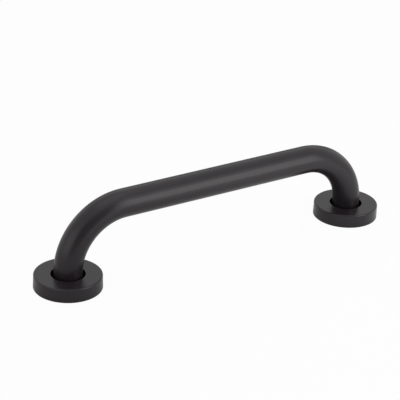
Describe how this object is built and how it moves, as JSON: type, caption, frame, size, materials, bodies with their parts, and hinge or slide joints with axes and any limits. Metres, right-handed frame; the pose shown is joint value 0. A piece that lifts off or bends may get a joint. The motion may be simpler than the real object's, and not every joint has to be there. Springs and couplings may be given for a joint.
{
  "type": "grab bar",
  "caption": "Straight tubular grab bar with bent legs, a screw flange welded to each end and a loose round cover that lifts along the leg to bare its screws.",
  "frame": {"origin": "on the wall plane, midway between the axes of the two legs", "axes": "+X along the bar, +Z away from the wall, Y across the bar"},
  "size_m": [0.3608, 0.0608, 0.0807],
  "materials": {
    "bar_coat": "satin",
    "plate_coat": "matte",
    "weld_coat": "matte",
    "cover_coat": "satin"
  },
  "bodies": {
    "bar_body": {"bar_tube": "bar_coat", "left_flange_plate": "plate_coat", "right_flange_plate": "plate_coat", "left_weld_bead": "weld_coat", "right_weld_bead": "weld_coat"},
    "left_cover_body": {"left_cover": "cover_coat"},
    "right_cover_body": {"right_cover": "cover_coat"}
  },
  "joints": [
    {"name": "left_cover_slide", "type": "slide", "parent": "bar_body", "child": "left_cover_body", "axis": [0, 0, 1], "range_m": [0, 0.014]},
    {"name": "right_cover_slide", "type": "slide", "parent": "bar_body", "child": "right_cover_body", "axis": [0, 0, 1], "range_m": [0, 0.014]}
  ]
}
